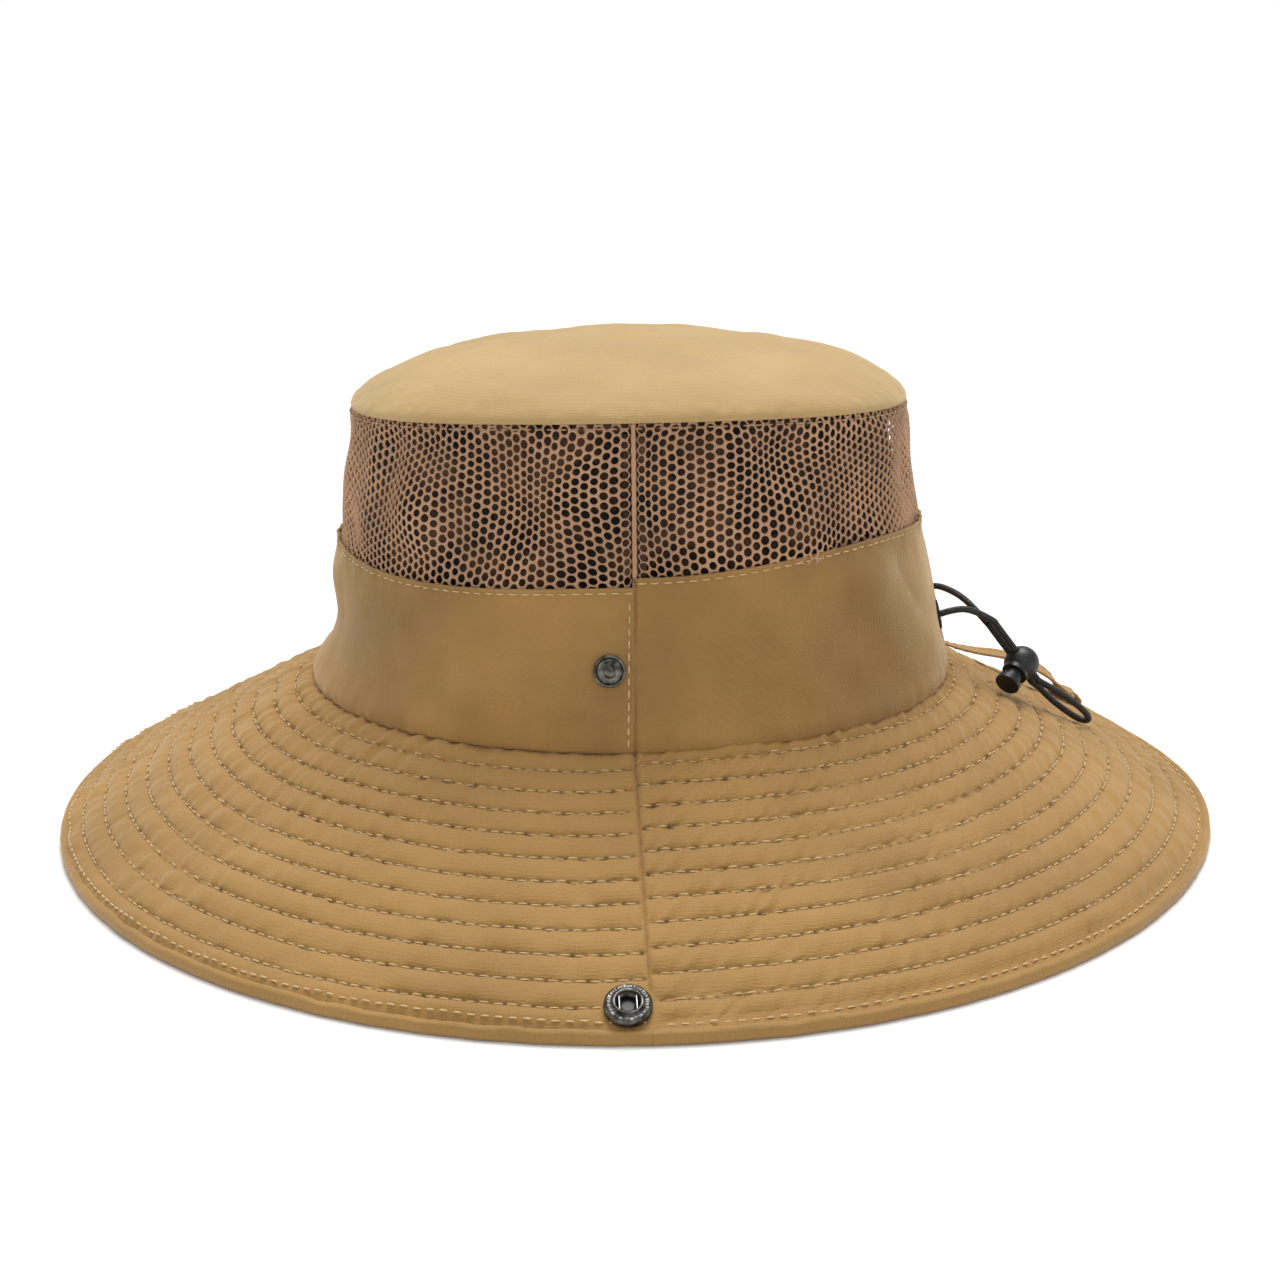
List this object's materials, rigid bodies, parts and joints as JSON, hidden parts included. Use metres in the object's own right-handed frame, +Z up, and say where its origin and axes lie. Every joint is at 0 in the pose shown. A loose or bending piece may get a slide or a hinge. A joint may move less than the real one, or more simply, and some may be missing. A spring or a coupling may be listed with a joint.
{
  "type": "boonie hat",
  "caption": "Wide-brimmed sun hat with a domed crown, mesh band, quilted brim with snap-up sides, rear drawcord with sliding lock and flat chin ties.",
  "frame": {"origin": "middle of the brim's outer edge, on the table that the hat stands on", "axes": "+Z up, +Y towards the back of the hat, +X towards the wearer's left"},
  "size_m": [0.3559, 0.3688, 0.1496],
  "materials": {
    "tan_cloth": "matt woven nylon with a faint sheen",
    "mesh": "knitted hexagonal net",
    "interlining": "non-woven stiffener",
    "sweatband": "soft woven",
    "seam_tape": "woven tape",
    "gunmetal": "antique plated",
    "spring_steel": "bright wire",
    "black_metal": "black lacquer",
    "elastic_cord": "braided elastic",
    "black_plastic": "fine matt"
  },
  "bodies": {
    "hat": {"crown_tip": "tan_cloth", "tip_seam_tape": "seam_tape", "mesh_front": "mesh", "mesh_rear": "mesh", "mesh_seam_tape_left": "seam_tape", "mesh_seam_tape_right": "seam_tape", "band_front": "tan_cloth", "band_rear": "tan_cloth", "band_seam_tape_left": "seam_tape", "band_seam_tape_right": "seam_tape", "sweatband": "sweatband", "brim_top_front": "tan_cloth", "brim_top_rear": "tan_cloth", "brim_core": "interlining", "brim_under_front": "tan_cloth", "brim_under_rear": "tan_cloth", "edge_binding": "tan_cloth", "fold_zone_left": "tan_cloth", "fold_zone_right": "tan_cloth", "stud_left": "gunmetal", "stud_right": "gunmetal", "stud_back_left": "gunmetal", "stud_back_right": "gunmetal", "eyelet_left": "black_metal", "eyelet_right": "black_metal", "drawcord_channel": "elastic_cord", "drawcord_loop": "elastic_cord", "chin_tie_left": "tan_cloth", "chin_tie_right": "tan_cloth", "tie_anchor_left": "tan_cloth", "tie_anchor_right": "tan_cloth"},
    "left_side": {"side_top_left": "tan_cloth", "side_core_left": "interlining", "side_under_left": "tan_cloth", "side_binding_left": "tan_cloth", "socket_left": "gunmetal", "socket_spring_left": "spring_steel", "socket_cap_left": "gunmetal"},
    "right_side": {"side_top_right": "tan_cloth", "side_core_right": "interlining", "side_under_right": "tan_cloth", "side_binding_right": "tan_cloth", "socket_right": "gunmetal", "socket_spring_right": "spring_steel", "socket_cap_right": "gunmetal"},
    "cord_lock": {"lock_body": "black_plastic", "lock_spring": "spring_steel"},
    "lock_button": {"lock_plunger": "black_plastic"}
  },
  "joints": [
    {"name": "left_side_fold", "type": "hinge", "parent": "hat", "child": "left_side", "pos_m": [0.11585, 0, 0.01719], "axis": [0, -1, 0], "range_deg": [0, 127.5], "stiffness_Nm_per_rad": 0.004, "deforming": ["fold_zone_left"]},
    {"name": "right_side_fold", "type": "hinge", "parent": "hat", "child": "right_side", "pos_m": [-0.11585, 0, 0.01719], "axis": [0, 1, 0], "range_deg": [0, 127.5], "stiffness_Nm_per_rad": 0.004, "deforming": ["fold_zone_right"]},
    {"name": "lock_slide", "type": "slide", "parent": "hat", "child": "cord_lock", "axis": [0, -0.6074, 0.7944], "range_m": [0, 0.011]},
    {"name": "button_press", "type": "slide", "parent": "cord_lock", "child": "lock_button", "axis": [-0.6428, 0.6085, 0.4653], "range_m": [0, 0.002], "stiffness_N_per_m": 500, "deforming": ["lock_spring"]}
  ]
}
